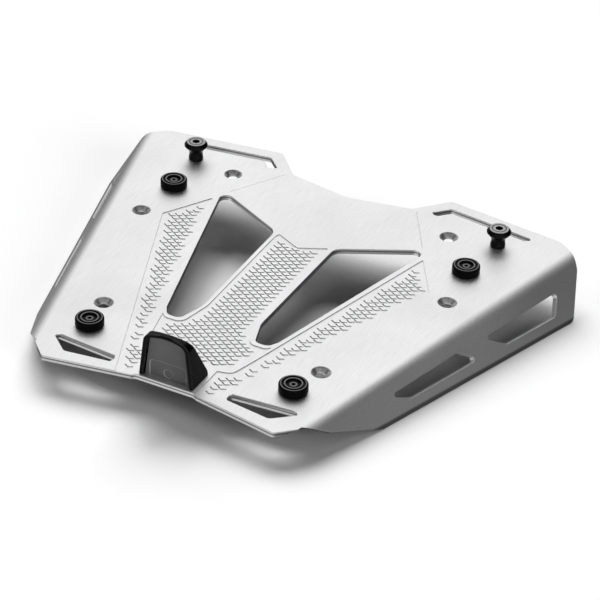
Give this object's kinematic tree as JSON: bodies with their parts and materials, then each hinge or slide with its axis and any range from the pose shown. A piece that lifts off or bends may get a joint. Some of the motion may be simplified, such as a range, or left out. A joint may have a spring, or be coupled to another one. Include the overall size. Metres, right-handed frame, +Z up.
{
  "type": "motorcycle luggage rack",
  "caption": "Folded sheet-aluminium rack plate with sunk lozenge tread, strap windows, case studs, rubber pads and a latch nose for a motorcycle top case.",
  "frame": {"origin": "middle of the rack's length and width, at the height of the lowest edge of the folded sides; the top plate is level", "axes": "+X to the right of the motorcycle, +Y towards its front, +Z up; the screws' axes run along +Z"},
  "size_m": [0.362, 0.301, 0.0678],
  "materials": {
    "plate": "fine brushed, clear anodised",
    "black_steel": "satin black",
    "black_screw": "black oxide",
    "rubber": "satin moulded rubber",
    "nose_plastic": "gloss black",
    "insert_plastic": "satin dark grey",
    "steel": "zinc plated"
  },
  "bodies": {
    "root": {"plate": "plate", "latch_nose": "nose_plastic", "latch_insert": "insert_plastic", "stud_left": "black_steel", "stud_washer_left": "steel", "stud_nut_left": "steel", "nose_screw_left": "steel", "nose_washer_left": "steel", "pad_front_left": "rubber", "pad_screw_front_left": "black_screw", "pad_washer_front_left": "steel", "pad_nut_front_left": "steel", "pad_rear_left": "rubber", "pad_screw_rear_left": "black_screw", "pad_washer_rear_left": "steel", "pad_nut_rear_left": "steel", "stud_right": "black_steel", "stud_washer_right": "steel", "stud_nut_right": "steel", "nose_screw_right": "steel", "nose_washer_right": "steel", "pad_front_right": "rubber", "pad_screw_front_right": "black_screw", "pad_washer_front_right": "steel", "pad_nut_front_right": "steel", "pad_rear_right": "rubber", "pad_screw_rear_right": "black_screw", "pad_washer_rear_right": "steel", "pad_nut_rear_right": "steel"}
  },
  "joints": []
}
